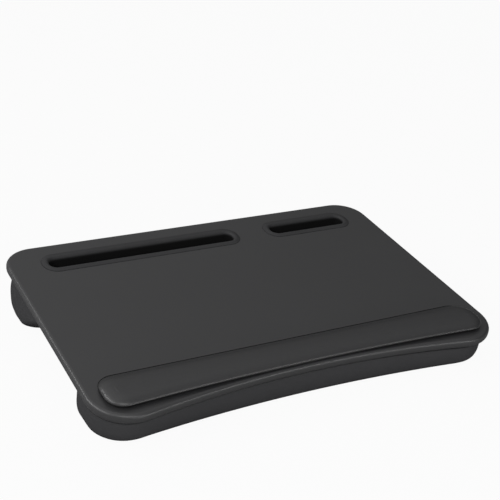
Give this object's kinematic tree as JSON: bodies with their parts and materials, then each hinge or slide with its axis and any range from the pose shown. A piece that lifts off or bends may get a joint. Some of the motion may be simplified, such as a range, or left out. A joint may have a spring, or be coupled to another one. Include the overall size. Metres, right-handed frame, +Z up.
{
  "type": "lap tray with cushion",
  "caption": "Sloping lap tray with a padded wrist rest, narrow device slots along the back and a cushion of soft bolsters underneath.",
  "frame": {"origin": "on the floor, under the middle of the part", "axes": "+X to the user's right, +Y from the user towards the higher back edge, +Z up"},
  "size_m": [0.6, 0.3975, 0.0958],
  "materials": {
    "tray_plastic": "satin",
    "liner_rubber": "soft satin",
    "rest_skin": "fine grain",
    "cushion_cloth": "smooth knit",
    "foam": "open cell",
    "board": "pressed board",
    "tape": "adhesive tape",
    "screw_steel": "zinc plated"
  },
  "bodies": {
    "root": {"tray_top": "tray_plastic", "long_slot_liner": "liner_rubber", "short_slot_liner": "liner_rubber", "wrist_rest_cover": "rest_skin", "wrist_rest_foam": "foam", "wrist_rest_board": "board", "wrist_rest_tapes": "tape", "base_panel": "board", "panel_screws": "screw_steel", "cushion_backing": "cushion_cloth", "front_bolster_cover": "cushion_cloth", "front_bolster_core": "foam", "rear_bolster_cover": "cushion_cloth", "rear_bolster_core": "foam"}
  },
  "joints": []
}
